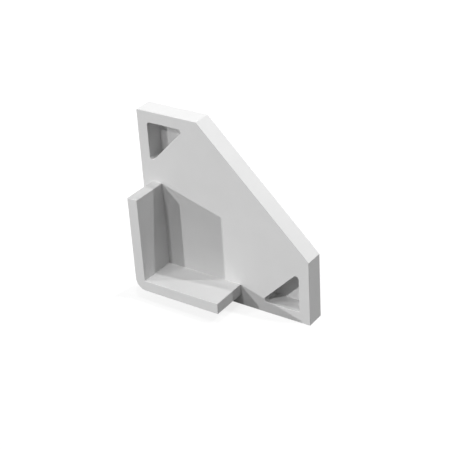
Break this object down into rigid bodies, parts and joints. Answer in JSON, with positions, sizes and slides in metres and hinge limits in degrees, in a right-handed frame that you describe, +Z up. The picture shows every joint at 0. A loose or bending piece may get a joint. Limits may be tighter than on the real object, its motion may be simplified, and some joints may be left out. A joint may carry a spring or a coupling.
{
  "type": "profile end cap",
  "caption": "Push-in end cap for a corner-shaped profile: a square plate with one corner cut at 45 degrees, blind triangular pockets in its tips and an L-shaped spigot.",
  "frame": {"origin": "the plate's square corner, on the seat face that meets the profile's cut end", "axes": "+X along the plate's leg that holds the spigot's shelf, +Z up its other leg, +Y out of the profile, from the seat face towards the outer face"},
  "size_m": [0.0325, 0.0105, 0.0325],
  "materials": {
    "moulded_plastic": "matte, pale grey, finely textured by the mould"
  },
  "bodies": {
    "root": {"end_cap": "moulded_plastic"}
  },
  "joints": []
}
